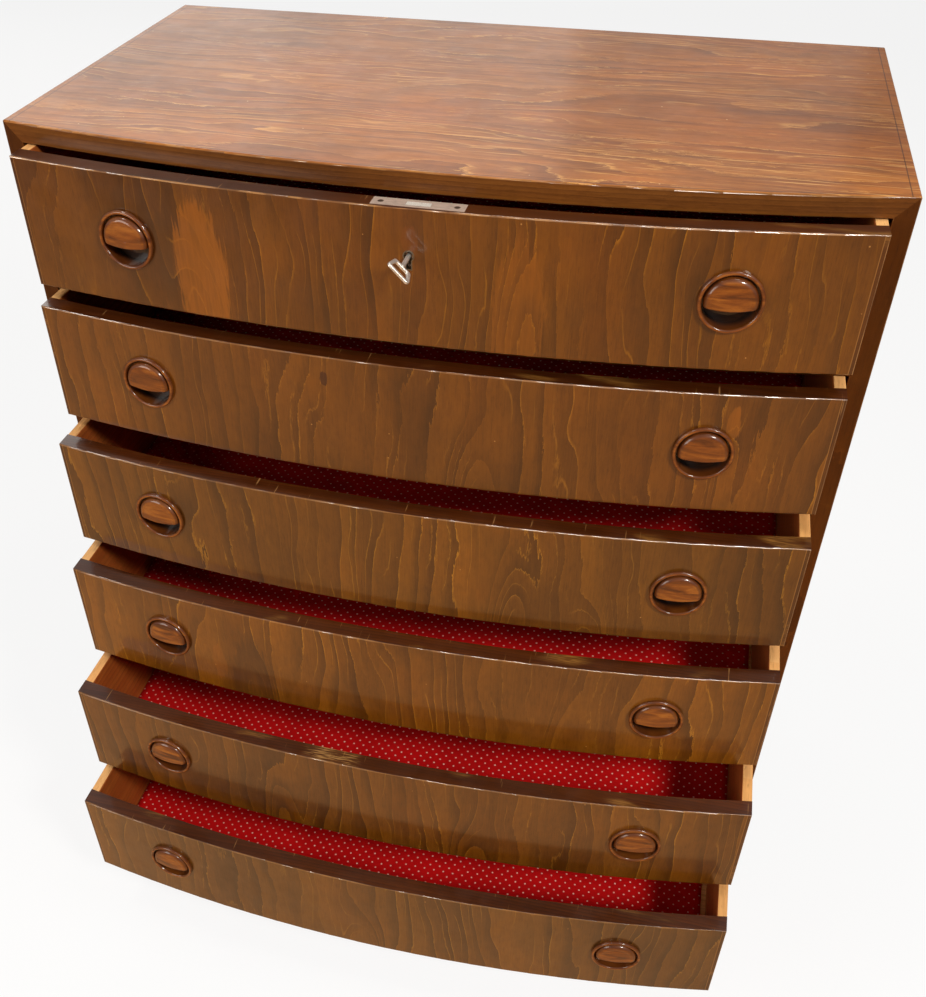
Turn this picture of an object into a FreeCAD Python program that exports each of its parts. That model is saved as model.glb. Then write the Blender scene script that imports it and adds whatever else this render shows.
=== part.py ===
import FreeCAD, Part
import math
import os

from FreeCAD import Rotation, Vector

# Bow-fronted chest of six drawers on a set-back plinth.
# Millimetres, +Z up, +X to the right as one faces the chest, -Y out of its front.
# The model is drawn with y = 0 at the front corners of the carcass, and is then
# moved back so that the origin is on the floor under the middle of its outline at rest.

# Driving dimensions: carcass
carcass_width = 800.0
carcass_depth = 418.0          # at the sides, front corner to back face
bow_rise = 38.0                # how far the middle of the front stands forward of its corners
board = 18.0                   # thickness of top, bottom and sides
outer_arris = 1.6              # rounding of the outer edges, apart from those at the back
inner_arris = 0.8              # rounding of the edges round the drawer opening

# Driving dimensions: plinth
plinth_height = 66.0
plinth_board = 20.0
plinth_setback_front = 32.0
plinth_setback_side = 28.0
plinth_setback_back = 10.0

# Driving dimensions: back panel
back_thickness = 5.0
back_behind = 1.0              # the sides run on behind the back panel
back_rebate_width = 9.0
back_fit = 0.2                 # clearance all round the back panel
back_screw_shank = 3.0
back_screw_head = 6.0
back_screw_length = 14.0
back_screw_spacing = 150.0     # aimed at between screws along one edge
screw_head_height = 1.6

# Driving dimensions: rails and runners between the drawers
rail_thickness = 17.0
rail_depth = 46.0              # at the ends, behind the front corner
rail_tenon = 8.0
rail_tenon_thickness = 8.0
rail_tenon_margin = 9.0        # shoulder in front of and behind a tenon
runner_width = 22.0
stop_length = 30.0
stop_depth = 12.0
stop_height = 8.0
stop_from_middle = 190.0

# Driving dimensions: drawers
drawer_height = 124.0
drawer_seat_gap = 0.3          # under each drawer, over its rail and runners
drawer_top_clearance = 1.2
drawer_end_clearance = 3.0     # between a drawer and the side of the carcass
drawer_rear_clearance = 12.0
front_thickness = 19.0
front_arris = 1.2
drawer_side = 11.0
drawer_side_round = 1.6
drawer_back = 11.0
drawer_back_drop = 8.0         # the back is lower than the sides
drawer_back_inset = 12.0       # the sides run on behind the back
drawer_housing = 4.0           # how deep the back is let into the sides
drawer_bottom = 5.0
drawer_bottom_raise = 13.0     # underside of the bottom over the edge of the sides
drawer_groove = 5.0

# How far each drawer is pulled out at rest, and how wide a strip its lining
# leaves bare at the right side, from the top drawer down
drawers_at_rest = [
    (30.0, 1.0),
    (39.0, 1.5),
    (68.0, 1.0),
    (102.0, 3.0),
    (154.0, 0.5),
    (201.0, 6.0),
]

# Driving dimensions: dovetails
tail_count = 5
tail_length = 12.5
tail_share = 0.56              # of the pitch, at the root of a tail
tail_slope = 6.0               # a tail widens by one in this many

# Driving dimensions: lining sheets
lining_thickness = 1.0
lining_margin = 0.5

# Driving dimensions: turned pulls
pull_from_middle = 267.5
pull_above_middle = 2.0
pull_radius = 27.5
pull_ring_height = 4.2
pull_ring_width = 3.6
pull_ring_edge_height = 1.7    # where the rounding of the ring ends, outside
pull_ring_inner_height = 2.1   # where the rounding of the ring ends, inside
pull_ring_foot = 0.5           # how far the outside of the ring leans in
pull_plug_radius = 25.2
pull_plug_depth = 13.0
pull_plug_fit = 0.15
pull_quirk = 1.5               # dark groove between ring and bun
pull_quirk_depth = 4.0
pull_bun_height = 7.0
pull_bun_edge_height = 0.7     # where the rounding of the bun ends
pull_bun_shoulder = 6.0        # width of the rounding of the bun
pull_bun_shoulder_height = 5.9
pull_bun_knee_in = 1.5         # where that rounding is steepest, in from its edge
pull_bun_knee_height = 4.65
pull_dome_sag = 0.3            # fall of the dome half way to its shoulder
pull_bun_wall = 1.2            # wall left between quirk and finger hollow
pull_lip_below_middle = 6.8
pull_lip_radius = 105.0
pull_lip_thickness = 5.5
pull_lip_round = 1.4
pull_cup_depth = 11.0
pull_step_radius = 17.0
pull_step_height = 1.6
pull_undercut = 8.0            # how far the hollow reaches above the middle, behind the bun

# Driving dimensions: lock, key and keyhole of the top drawer
key_below_top = 41.0
lock_offset = 6.5              # middle of the lock plate to the right of the keyhole
plate_length = 80.0
plate_width = 15.5
plate_thickness = 2.5
case_width = 62.0
case_height = 57.0
case_depth = 13.0
case_wall = 1.3
flange_thickness = 1.5
bolt_width = 21.0
bolt_thickness = 7.0
bolt_height = 28.0
bolt_fit = 0.3
bolt_tail_thickness = 1.4
bolt_tail_drop = 22.0
bolt_bridge_height = 7.0
talon_width = 12.0
talon_depth = 14.0
tail_beside_talon = 6.0
strike_depth = 12.0
strike_fit = 2.0
lock_screw_shank = 2.6
lock_screw_head = 5.2
lock_screw_length = 12.0
lock_screw_from_end = 7.5
pear_radius = 4.1
pear_slot_half = 2.2
pear_drop = 11.4
escutcheon_wall = 1.0
escutcheon_depth = 4.5
escutcheon_proud = 0.3
key_stem_radius = 2.0
key_stem_out = 20.3            # stem that shows in front of the drawer
key_hole_fit = 0.2
key_bit_length = 9.4
key_bit_width = 5.6
key_bit_thickness = 2.0
key_bow_depth = 15.4
key_bow_half_inner = 9.0
key_bow_half_outer = 12.4
key_bow_bar = 3.0
key_bow_thickness = 2.6
key_bow_round = 3.0
key_bow_edge_round = 0.65
key_angle = 45.0               # at rest, turned from its upright place

# Sizes that follow from the driving dimensions
drawer_count = len(drawers_at_rest)
half_width = carcass_width / 2
inner_half = half_width - board
bow_radius = (half_width ** 2 + bow_rise ** 2) / (2 * bow_rise)
bow_centre_y = bow_radius - bow_rise
bay_height = drawer_height + drawer_seat_gap + drawer_top_clearance
pitch = bay_height + rail_thickness
interior_height = drawer_count * bay_height + (drawer_count - 1) * rail_thickness
carcass_bottom = plinth_height
interior_bottom = carcass_bottom + board
interior_top = interior_bottom + interior_height
carcass_top = interior_top + board
interior_rear = carcass_depth - back_behind - back_thickness
drawer_half = inner_half - drawer_end_clearance
drawer_inner_half = drawer_half - drawer_side
drawer_rear = interior_rear - drawer_rear_clearance
drawer_back_rear = drawer_rear - drawer_back_inset
drawer_back_front = drawer_back_rear - drawer_back
furthest_out = max(out for out, bare in drawers_at_rest)
origin_y = (carcass_depth - bow_rise - furthest_out) / 2
reach = 3 * carcass_depth      # longer than any cut has to be
overcut = 1.0                  # how far a cut starts outside the face it opens
tolerance = 0.01               # two places closer than this are the same


def bow_y(x, inset=0.0):
    """Place of the bowed front at x, or of a face that lies inset behind it."""
    return bow_centre_y - math.sqrt((bow_radius - inset) ** 2 - x ** 2)


# Places of lock and key, with the top drawer shut
lock_top = interior_top - drawer_top_clearance
key_z = lock_top - key_below_top
lock_face = bow_y(0.0)
lock_rear = bow_y(0.0, front_thickness)
case_front = lock_rear - case_depth
plate_middle_y = lock_rear - plate_width / 2
plate_x = (lock_offset - plate_length / 2, lock_offset + plate_length / 2)
case_x = (lock_offset - case_width / 2, lock_offset + case_width / 2)
case_bottom = lock_top - case_height
bolt_x = (lock_offset - bolt_width / 2, lock_offset + bolt_width / 2)
bolt_y = (plate_middle_y - bolt_thickness / 2, plate_middle_y + bolt_thickness / 2)
bolt_bottom = lock_top - bolt_height
bolt_tail_rear = lock_rear - flange_thickness - bolt_fit
bolt_tail_front = bolt_tail_rear - bolt_tail_thickness
key_end = bolt_tail_front - bolt_fit


# Shapes that several pieces use

def box(x, y, z):
    """Block between the low and high values along each axis."""
    return Part.makeBox(x[1] - x[0], y[1] - y[0], z[1] - z[0], Vector(x[0], y[0], z[0]))


def widened(span, by):
    return (span[0] - by, span[1] + by)


def mirrored(shape):
    return shape.mirror(Vector(0, 0, 0), Vector(1, 0, 0))


def moved(shape, by):
    copy = shape.copy()
    copy.translate(by)
    return copy


def turned(shape, axis, angle, place):
    """Copy turned about an axis through the origin and then moved to place."""
    copy = shape.copy()
    copy.Placement = FreeCAD.Placement(place, Rotation(axis, angle))
    return copy


def line(a, b):
    return Part.makeLine(a, b)


def bow_arc(half, inset):
    ends = [Vector(x, bow_y(x, inset), 0) for x in (-half, 0.0, half)]
    return Part.Arc(*ends).toShape()


def raise_outline(edges, z):
    """Solid over a closed outline drawn at z = 0, between the two heights in z."""
    face = Part.Face(Part.Wire(edges))
    face.translate(Vector(0, 0, z[0]))
    return face.extrude(Vector(0, 0, z[1] - z[0]))


def bow_slab(half, back, z, inset=0.0):
    """Board with a bowed front edge and a straight back edge."""
    front = bow_y(half, inset)
    edges = [
        bow_arc(half, inset),
        line(Vector(half, front, 0), Vector(half, back, 0)),
        line(Vector(half, back, 0), Vector(-half, back, 0)),
        line(Vector(-half, back, 0), Vector(-half, front, 0)),
    ]
    return raise_outline(edges, z)


def bow_shell(half, front_inset, back_inset, z):
    """Bent board between two arcs about one centre."""
    front, back = bow_y(half, front_inset), bow_y(half, back_inset)
    edges = [
        bow_arc(half, front_inset),
        line(Vector(half, front, 0), Vector(half, back, 0)),
        bow_arc(half, back_inset),
        line(Vector(-half, back, 0), Vector(-half, front, 0)),
    ]
    return raise_outline(edges, z)


def prism(points, direction):
    """Solid swept along direction from a closed polygon."""
    return Part.Face(Part.makePolygon(points + points[:1])).extrude(direction)


def near(a, b):
    return abs(a - b) < tolerance


def within(span, limits):
    return span[0] > limits[0] - tolerance and span[1] < limits[1] + tolerance


def fillet(shape, radius, wanted):
    """Round those edges that pass the test wanted."""
    return shape.makeFillet(radius, [edge for edge in shape.Edges if wanted(edge)])


def screw(shank, head, length):
    """Countersunk screw along -Z with the flat of its head at z = 0."""
    cone = Part.makeCone(shank / 2, head / 2, screw_head_height, Vector(0, 0, -screw_head_height))
    straight = length - screw_head_height - shank
    body = Part.makeCylinder(shank / 2, straight, Vector(0, 0, shank - length))
    tip = Part.makeCone(0.0, shank / 2, shank, Vector(0, 0, -length))
    return cone.fuse([body, tip]).removeSplitter()


def facing_back(model, x, y, z):
    """Screw driven forward, with its head at y."""
    return turned(model, Vector(1, 0, 0), -90, Vector(x, y, z))


def spread(low, high, spacing):
    """Even places from low to high, about spacing apart."""
    steps = max(1, round((high - low) / spacing))
    return [low + (high - low) * i / steps for i in range(steps + 1)]


def drawer_base(number):
    """Height of the lower edge of a drawer, where 1 is the top drawer."""
    return interior_bottom + drawer_seat_gap + (drawer_count - number) * pitch


# Carcass

def make_ring():
    """The four boards of the carcass in one, with rounded edges and the rebate for the back."""
    block = bow_slab(half_width, carcass_depth, (carcass_bottom, carcass_top))
    front_corner = bow_y(half_width)

    def outer_edge(edge):
        b = edge.BoundBox
        on_front = b.YMax < front_corner + tolerance
        along_side = near(b.XLength, 0.0) and near(b.ZLength, 0.0)
        return on_front or along_side

    block = fillet(block, outer_arris, outer_edge)
    opening = box((-inner_half, inner_half), (-reach, reach), (interior_bottom, interior_top))
    ring = block.cut(opening)

    def inner_edge(edge):
        b = edge.BoundBox
        in_x = within((b.XMin, b.XMax), (-inner_half, inner_half))
        in_z = within((b.ZMin, b.ZMax), (interior_bottom, interior_top))
        return in_x and in_z and b.YMax < bow_y(inner_half) + tolerance

    ring = fillet(ring, inner_arris, inner_edge)
    rebate = box(
        widened((-inner_half, inner_half), back_rebate_width),
        (interior_rear, reach),
        widened((interior_bottom, interior_top), back_rebate_width),
    )
    return ring.cut(rebate)


def make_panels():
    """Bottom, sides and top, mitred out of the ring so that their bowed edges are one surface."""
    ring = make_ring()
    outer = [
        (-half_width, carcass_bottom),
        (half_width, carcass_bottom),
        (half_width, carcass_top),
        (-half_width, carcass_top),
    ]
    inner = [
        (-inner_half, interior_bottom),
        (inner_half, interior_bottom),
        (inner_half, interior_top),
        (-inner_half, interior_top),
    ]
    panels = {}
    for i, name in enumerate(("bottom_panel", "side_right", "top_panel")):
        corners = (outer[i], outer[i + 1], inner[i + 1], inner[i])
        section = [Vector(x, -reach, z) for x, z in corners]
        panels[name] = ring.common(prism(section, Vector(0, 2 * reach, 0)))
    panels["side_left"] = mirrored(panels["side_right"])
    return panels


def rail_spans():
    """Low and high z of each rail, from the lowest up."""
    first = interior_bottom + bay_height
    lows = [first + i * pitch for i in range(drawer_count - 1)]
    return [(low, low + rail_thickness) for low in lows]


def make_rails():
    """Front rails with a stub tenon at each end."""
    rails = []
    for low, high in rail_spans():
        rail = bow_slab(inner_half, rail_depth, (low, high))
        middle = (low + high) / 2
        tenon = box(
            widened((-inner_half, inner_half), rail_tenon),
            (bow_y(inner_half) + rail_tenon_margin, rail_depth - rail_tenon_margin),
            (middle - rail_tenon_thickness / 2, middle + rail_tenon_thickness / 2),
        )
        rails.append(rail.fuse(tenon).removeSplitter())
    return rails


def make_runners():
    """Strips on the sides, level with the rails, that carry the drawers."""
    runners = []
    for span in rail_spans():
        right = box((inner_half - runner_width, inner_half), (rail_depth, interior_rear), span)
        runners += [mirrored(right), right]
    return runners


def make_stops():
    """Small blocks behind the drawer fronts that stop each drawer flush."""
    stops = []
    stop_x = (stop_from_middle - stop_length / 2, stop_from_middle + stop_length / 2)
    stop_front = bow_y(stop_x[1], front_thickness) + drawer_seat_gap
    floors = [interior_bottom] + [high for low, high in rail_spans()]
    for floor in floors:
        right = box(stop_x, (stop_front, stop_front + stop_depth), (floor, floor + stop_height))
        stops += [mirrored(right), right]
    return stops


def make_plinth():
    half = half_width - plinth_setback_side
    front = plinth_setback_front
    back = carcass_depth - plinth_setback_back
    z = (0.0, plinth_height)
    side = box((half - plinth_board, half), (front + plinth_board, back - plinth_board), z)
    return {
        "plinth_front": [box((-half, half), (front, front + plinth_board), z)],
        "plinth_back": [box((-half, half), (back - plinth_board, back), z)],
        "plinth_sides": [mirrored(side), side],
    }


def make_back_screws():
    """Screws that hold the back panel in its rebate."""
    model = screw(back_screw_shank, back_screw_head, back_screw_length)
    x = widened((-inner_half, inner_half), back_rebate_width / 2)
    z = widened((interior_bottom, interior_top), back_rebate_width / 2)
    places = [(across, height) for across in spread(*x, back_screw_spacing) for height in z]
    places += [(across, height) for across in x for height in spread(*z, back_screw_spacing)[1:-1]]
    return [facing_back(model, across, interior_rear + back_thickness, height) for across, height in places]


def make_back_panel(screws):
    margin = back_rebate_width - back_fit
    panel = box(
        widened((-inner_half, inner_half), margin),
        (interior_rear, interior_rear + back_thickness),
        widened((interior_bottom, interior_top), margin),
    )
    return panel.cut(screws)


def make_carcass():
    """Nodes of everything that stands still."""
    panels = make_panels()
    rails = make_rails()
    screws = make_back_screws()
    nodes = {name: [panel.cut(rails + screws)] for name, panel in panels.items()}
    nodes["top_panel"] = [nodes["top_panel"][0].cut(make_strike_pocket())]
    nodes["back_panel"] = [make_back_panel(screws)]
    nodes["back_screws"] = screws
    nodes["front_rails"] = rails
    nodes["drawer_runners"] = make_runners()
    nodes["drawer_stops"] = make_stops()
    nodes.update(make_plinth())
    return nodes


# Turned pulls

# Radii and heights over the drawer front that several of their functions use
ring_inner = pull_radius - pull_ring_width
ring_crest = pull_radius - pull_ring_width / 2
bun_radius = ring_inner - pull_quirk
bun_shoulder = bun_radius - pull_bun_shoulder
lip_centre = pull_lip_radius - pull_lip_below_middle


def out_cylinder(radius, low, high, z=0.0):
    """Cylinder along -Y, from low to high in front of the plane y = 0."""
    return Part.makeCylinder(radius, high - low, Vector(0, -low, z), Vector(0, -1, 0))


def at(radius, height):
    return Vector(radius, -height, 0)


def turned_on_axis(arcs, points):
    """Solid of revolution about the Y axis: the arcs, then straight lines on through the points."""
    edges = [Part.Arc(*arc).toShape() for arc in arcs]
    edges += [line(a, b) for a, b in zip(points, points[1:])]
    return Part.Face(Part.Wire(edges)).revolve(Vector(0, 0, 0), Vector(0, 1, 0), 360)


def make_bun():
    """Domed bun, cut off along its lip, down to the floor of the quirk."""
    top = at(0, pull_bun_height)
    shoulder = at(bun_shoulder, pull_bun_shoulder_height)
    edge = at(bun_radius, pull_bun_edge_height)
    dome = (top, at(bun_shoulder / 2, pull_bun_height - pull_dome_sag), shoulder)
    rounding = (shoulder, at(bun_radius - pull_bun_knee_in, pull_bun_knee_height), edge)
    foot = [edge, at(bun_radius, -pull_quirk_depth), at(0, -pull_quirk_depth), top]
    bun = turned_on_axis([dome, rounding], foot)
    bun = bun.common(out_cylinder(pull_lip_radius, -reach, reach, lip_centre))

    def lip_edge(edge):
        b = edge.BoundBox
        on_lip = all(near(math.hypot(v.X, v.Z - lip_centre), pull_lip_radius) for v in edge.Vertexes)
        above_floor = b.YMin < pull_quirk_depth - tolerance
        off_seam = max(-b.XMin, b.XMax) > tolerance
        return on_lip and above_floor and off_seam

    return fillet(bun, pull_lip_round, lip_edge)


def make_ring_and_plug():
    """Rounded ring, with the plug that holds the pull in its bore."""
    outside = at(pull_radius, pull_ring_edge_height)
    inside = at(ring_inner, pull_ring_inner_height)
    ring = (outside, at(ring_crest, pull_ring_height), inside)
    plug = [
        inside,
        at(ring_inner, -pull_quirk_depth),
        at(0, -pull_quirk_depth),
        at(0, -pull_plug_depth),
        at(pull_plug_radius, -pull_plug_depth),
        at(pull_plug_radius, 0),
        at(pull_radius - pull_ring_foot, 0),
        outside,
    ]
    return turned_on_axis([ring], plug)


def make_pull():
    """Turned pull: a ring, a bun over the upper part and a finger hollow below its lip."""
    cup = out_cylinder(ring_inner, -pull_cup_depth, pull_bun_height)
    below_lip = cup.cut(out_cylinder(pull_lip_radius, -reach, reach, lip_centre))
    hollow_top = pull_bun_height - pull_lip_thickness
    undercut = out_cylinder(bun_radius - pull_bun_wall, -pull_cup_depth, hollow_top)
    undercut = undercut.common(box((-reach, reach), (-reach, reach), (-reach, pull_undercut)))
    step = out_cylinder(pull_step_radius, -pull_cup_depth, pull_step_height - pull_cup_depth)
    hollow = below_lip.fuse(undercut).cut(step)
    return make_ring_and_plug().fuse(make_bun()).cut(hollow).removeSplitter()


def on_front(shape, side, z):
    """Copy of a shape drawn about the -Y axis, set square on the bowed front at a pull's place."""
    x = side * pull_from_middle
    turn = math.degrees(math.asin(x / bow_radius))
    return turned(shape, Vector(0, 0, 1), turn, Vector(x, bow_y(x), z))


# Drawers

def make_tails(base, x):
    """Dovetails that reach from a drawer side into the back of the front."""
    root = bow_y(drawer_half, front_thickness) + drawer_side_round
    tip = bow_y(drawer_half, front_thickness) - tail_length
    tail_pitch = drawer_height / tail_count
    half_root = tail_share * tail_pitch / 2
    half_tip = half_root + (root - tip) / tail_slope
    tails = []
    for i in range(tail_count):
        z = base + (i + 0.5) * tail_pitch
        points = [
            Vector(x[0], root, z - half_root),
            Vector(x[0], tip, z - half_tip),
            Vector(x[0], tip, z + half_tip),
            Vector(x[0], root, z + half_root),
        ]
        tails.append(prism(points, Vector(x[1] - x[0], 0, 0)))
    return tails


def make_drawer_front(base):
    """Bowed front with sockets for the dovetails and bores for the plugs of the pulls."""
    z = (base, base + drawer_height)
    front = bow_shell(drawer_half, 0.0, front_thickness, z)

    def front_edge(edge):
        return edge.BoundBox.YMax < bow_y(drawer_half) + tolerance

    front = fillet(front, front_arris, front_edge)
    tails = make_tails(base, (drawer_inner_half, drawer_half))
    plug_bore = out_cylinder(pull_plug_radius + pull_plug_fit, -pull_plug_depth - pull_plug_fit, reach)
    bores = [on_front(plug_bore, side, pull_height(base)) for side in (-1, 1)]
    return front.cut(tails + [mirrored(tail) for tail in tails] + bores)


def pull_height(base):
    return base + drawer_height / 2 + pull_above_middle


def make_drawer_bottom(base):
    """Panel in the grooves of front and sides, pinned up under the back."""
    low = base + drawer_bottom_raise
    half = drawer_inner_half + drawer_groove
    return bow_slab(half, drawer_back_rear, (low, low + drawer_bottom), front_thickness - drawer_groove)


def make_drawer_back(base):
    """Back board, let into both sides and standing on the bottom panel."""
    return box(
        widened((-drawer_inner_half, drawer_inner_half), drawer_housing),
        (drawer_back_front, drawer_back_rear),
        (base + drawer_bottom_raise + drawer_bottom, base + drawer_height - drawer_back_drop),
    )


def make_drawer_side(base):
    """Right side with a rounded upper edge, long enough for its dovetails."""
    top = base + drawer_height
    tail_tip = bow_y(drawer_half, front_thickness) - tail_length
    side = box((drawer_inner_half, drawer_half), (tail_tip, drawer_rear), (base, top))

    def upper_edge(edge):
        return near(edge.BoundBox.ZMin, top) and near(edge.BoundBox.XLength, 0.0)

    return fillet(side, drawer_side_round, upper_edge)


def make_lining(base, bare_right):
    """Sheet laid on the drawer bottom."""
    low = base + drawer_bottom_raise + drawer_bottom
    z = (low, low + lining_thickness)
    half = drawer_inner_half - lining_margin
    sheet = bow_slab(half, drawer_back_front - lining_margin, z, front_thickness + lining_margin)
    bare = box((drawer_inner_half - bare_right, reach), (-reach, reach), widened(z, overcut))
    return sheet.cut(bare)


def make_drawer(number, pull):
    """Pieces of one shut drawer, by name."""
    base = drawer_base(number)
    bare_right = drawers_at_rest[number - 1][1]
    front = make_drawer_front(base)
    bottom = make_drawer_bottom(base)
    back = make_drawer_back(base)
    side = make_drawer_side(base)
    return {
        "front": [front.cut(bottom)],
        "side_left": [mirrored(side).cut([front, bottom, back])],
        "side_right": [side.cut([front, bottom, back])],
        "back": [back],
        "bottom": [bottom],
        "lining": [make_lining(base, bare_right)],
        "pulls": [on_front(pull, side_sign, pull_height(base)) for side_sign in (-1, 1)],
    }


# Lock and key of the top drawer

def pear(radius, slot_half, drop, y):
    """Keyhole shape: a round with a slot below it, between the two places in y."""
    round_part = Part.makeCylinder(radius, y[1] - y[0], Vector(0, y[0], key_z), Vector(0, 1, 0))
    slot = box((-slot_half, slot_half), y, (key_z - drop, key_z))
    return round_part.fuse(slot).removeSplitter()


def keyhole(y, margin=0.0):
    return pear(pear_radius + margin, pear_slot_half + margin, pear_drop + margin, y)


def make_escutcheon():
    y = (lock_face - escutcheon_proud, lock_face + escutcheon_depth)
    return keyhole(y, escutcheon_wall).cut(keyhole(widened(y, overcut)))


def lock_seat(extra=0.0):
    """Space that plate, case and flange fill together, opened at top and rear by extra."""
    rear = lock_rear + extra
    plate = box(plate_x, (lock_rear - plate_width, rear), (lock_top - plate_thickness, lock_top + extra))
    case = box(case_x, (case_front, rear), (case_bottom, lock_top + extra))
    flange = box(plate_x, (lock_rear - flange_thickness, rear), (case_bottom, lock_top + extra))
    return [plate, case, flange]


def make_lock_case():
    """Plate let into the edge of the front, with the case and its flange behind it."""
    plate, case, flange = lock_seat()
    inside = box(
        widened(case_x, -case_wall),
        (case_front + case_wall, lock_rear - flange_thickness),
        (case_bottom + case_wall, lock_top - plate_thickness),
    )
    bolt_way = box(
        widened(bolt_x, bolt_fit),
        widened(bolt_y, bolt_fit),
        (lock_top - plate_thickness - overcut, lock_top + overcut),
    )
    key_way = pear(
        key_stem_radius + key_hole_fit,
        key_bit_thickness / 2 + key_hole_fit,
        key_bit_length + 2 * key_hole_fit,
        widened((case_front, case_front + case_wall), overcut),
    )
    return plate.fuse([case, flange]).cut([inside, bolt_way, key_way]).removeSplitter()


def make_lock_screws():
    """Two screws down through the plate and two forward through the flange."""
    model = screw(lock_screw_shank, lock_screw_head, lock_screw_length)
    flange_z = case_bottom + lock_screw_head
    screws = []
    for end in (0, 1):
        inward = 1 - 2 * end
        over_plate = Vector(plate_x[end] + inward * lock_screw_from_end, plate_middle_y, lock_top)
        screws.append(moved(model, over_plate))
        screws.append(facing_back(model, (plate_x[end] + case_x[end]) / 2, lock_rear, flange_z))
    return screws


def make_lock_bolt():
    """Bolt head, and a thin tail behind the key with a talon notch."""
    head = box(bolt_x, bolt_y, (bolt_bottom, lock_top))
    tail_y = (bolt_tail_front, bolt_tail_rear)
    bridge_z = (bolt_bottom, bolt_bottom + bolt_bridge_height)
    tail_bottom = bolt_bottom - bolt_tail_drop
    tail_left = -talon_width / 2 - tail_beside_talon
    tail = box((tail_left, bolt_x[1]), tail_y, (tail_bottom, bridge_z[1]))
    bridge = box(bolt_x, (plate_middle_y, bolt_tail_rear), bridge_z)
    talon = box(
        (-talon_width / 2, talon_width / 2),
        widened(tail_y, overcut),
        (tail_bottom - overcut, tail_bottom + talon_depth),
    )
    return head.fuse([tail, bridge]).cut(talon).removeSplitter()


def bow_outline(inset):
    """Outline of the key's bow in the plane x = 0, drawn in by inset all round."""
    near_y = -key_stem_out - inset
    far_y = -key_stem_out - key_bow_depth + inset
    return [
        Vector(0, near_y, inset - key_bow_half_inner),
        Vector(0, far_y, inset - key_bow_half_outer),
        Vector(0, far_y, key_bow_half_outer - inset),
        Vector(0, near_y, key_bow_half_inner - inset),
    ]


def make_key():
    """Flat bow with a slot, a round stem and a bit, drawn upright and then turned."""
    sweep = Vector(key_bow_thickness, 0, 0)

    def across(edge):
        return near(edge.BoundBox.XLength, key_bow_thickness)

    bow = fillet(prism(bow_outline(0.0), sweep), key_bow_round, across)
    slot = fillet(prism(bow_outline(key_bow_bar), sweep), key_bow_round / 2, across)
    bow = fillet(bow.cut(slot), key_bow_edge_round, lambda edge: near(edge.BoundBox.XLength, 0.0))
    bow.translate(Vector(-key_bow_thickness / 2, 0, 0))

    stem_start = -key_stem_out - key_bow_bar / 2
    stem_end = key_end - lock_face
    stem = Part.makeCylinder(
        key_stem_radius, stem_end - stem_start, Vector(0, stem_start, 0), Vector(0, 1, 0)
    )
    bit = box(
        (-key_bit_thickness / 2, key_bit_thickness / 2),
        (stem_end - key_hole_fit - key_bit_width, stem_end - key_hole_fit),
        (-key_bit_length, 0),
    )
    key = stem.fuse([bow, bit]).removeSplitter()
    return turned(key, Vector(0, 1, 0), -key_angle, Vector(0, lock_face, key_z))


def make_lock_cuts():
    """What lock and keyhole take out of the drawer front."""
    shaft = keyhole(widened((lock_face, case_front), overcut))
    seat = keyhole((lock_face - overcut, lock_face + escutcheon_depth), escutcheon_wall)
    return [shaft, seat] + lock_seat(overcut)


def make_strike_pocket():
    """Mortise in the underside of the top that takes the thrown bolt."""
    z = (interior_top - overcut, interior_top + strike_depth)
    return box(widened(bolt_x, strike_fit), widened(bolt_y, strike_fit), z)


def make_lock():
    """Pieces of lock and key with the top drawer shut, by node name."""
    screws = make_lock_screws()
    return {
        "lock_case": [make_lock_case().cut(screws)],
        "lock_screws": screws,
        "lock_bolt": [make_lock_bolt()],
        "keyhole_escutcheon": [make_escutcheon()],
        "key": [make_key()],
    }


# Assembly

def pulled_out(pieces, number):
    """The pieces of a shut drawer, moved to where it is at rest."""
    out = Vector(0, -drawers_at_rest[number - 1][0], 0)
    return {name: [moved(solid, out) for solid in solids] for name, solids in pieces.items()}


def make_parts():
    """Every node's solids, by node name, in their places at rest."""
    nodes = make_carcass()
    lock = make_lock()
    pull = make_pull()
    for number in range(1, drawer_count + 1):
        pieces = make_drawer(number, pull)
        if number == 1:
            pieces["front"] = [pieces["front"][0].cut(make_lock_cuts() + lock["lock_screws"])]
        drawer = {f"drawer_{number}_{name}": solids for name, solids in pieces.items()}
        nodes.update(pulled_out(drawer, number))
    nodes.update(pulled_out(lock, 1))
    return nodes


def main():
    os.makedirs("parts", exist_ok=True)
    home = Vector(0, -origin_y, 0)
    for name, shapes in make_parts().items():
        solids = [moved(solid, home) for shape in shapes for solid in shape.Solids]
        node = solids[0] if len(solids) == 1 else Part.makeCompound(solids)
        node.exportStep(f"parts/{name}.step")
        print(name, len(solids), round(node.Volume), node.isValid())


main()
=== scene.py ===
import math
from collections import namedtuple

import bmesh
import bpy
from mathutils import Euler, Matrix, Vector, noise


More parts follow.
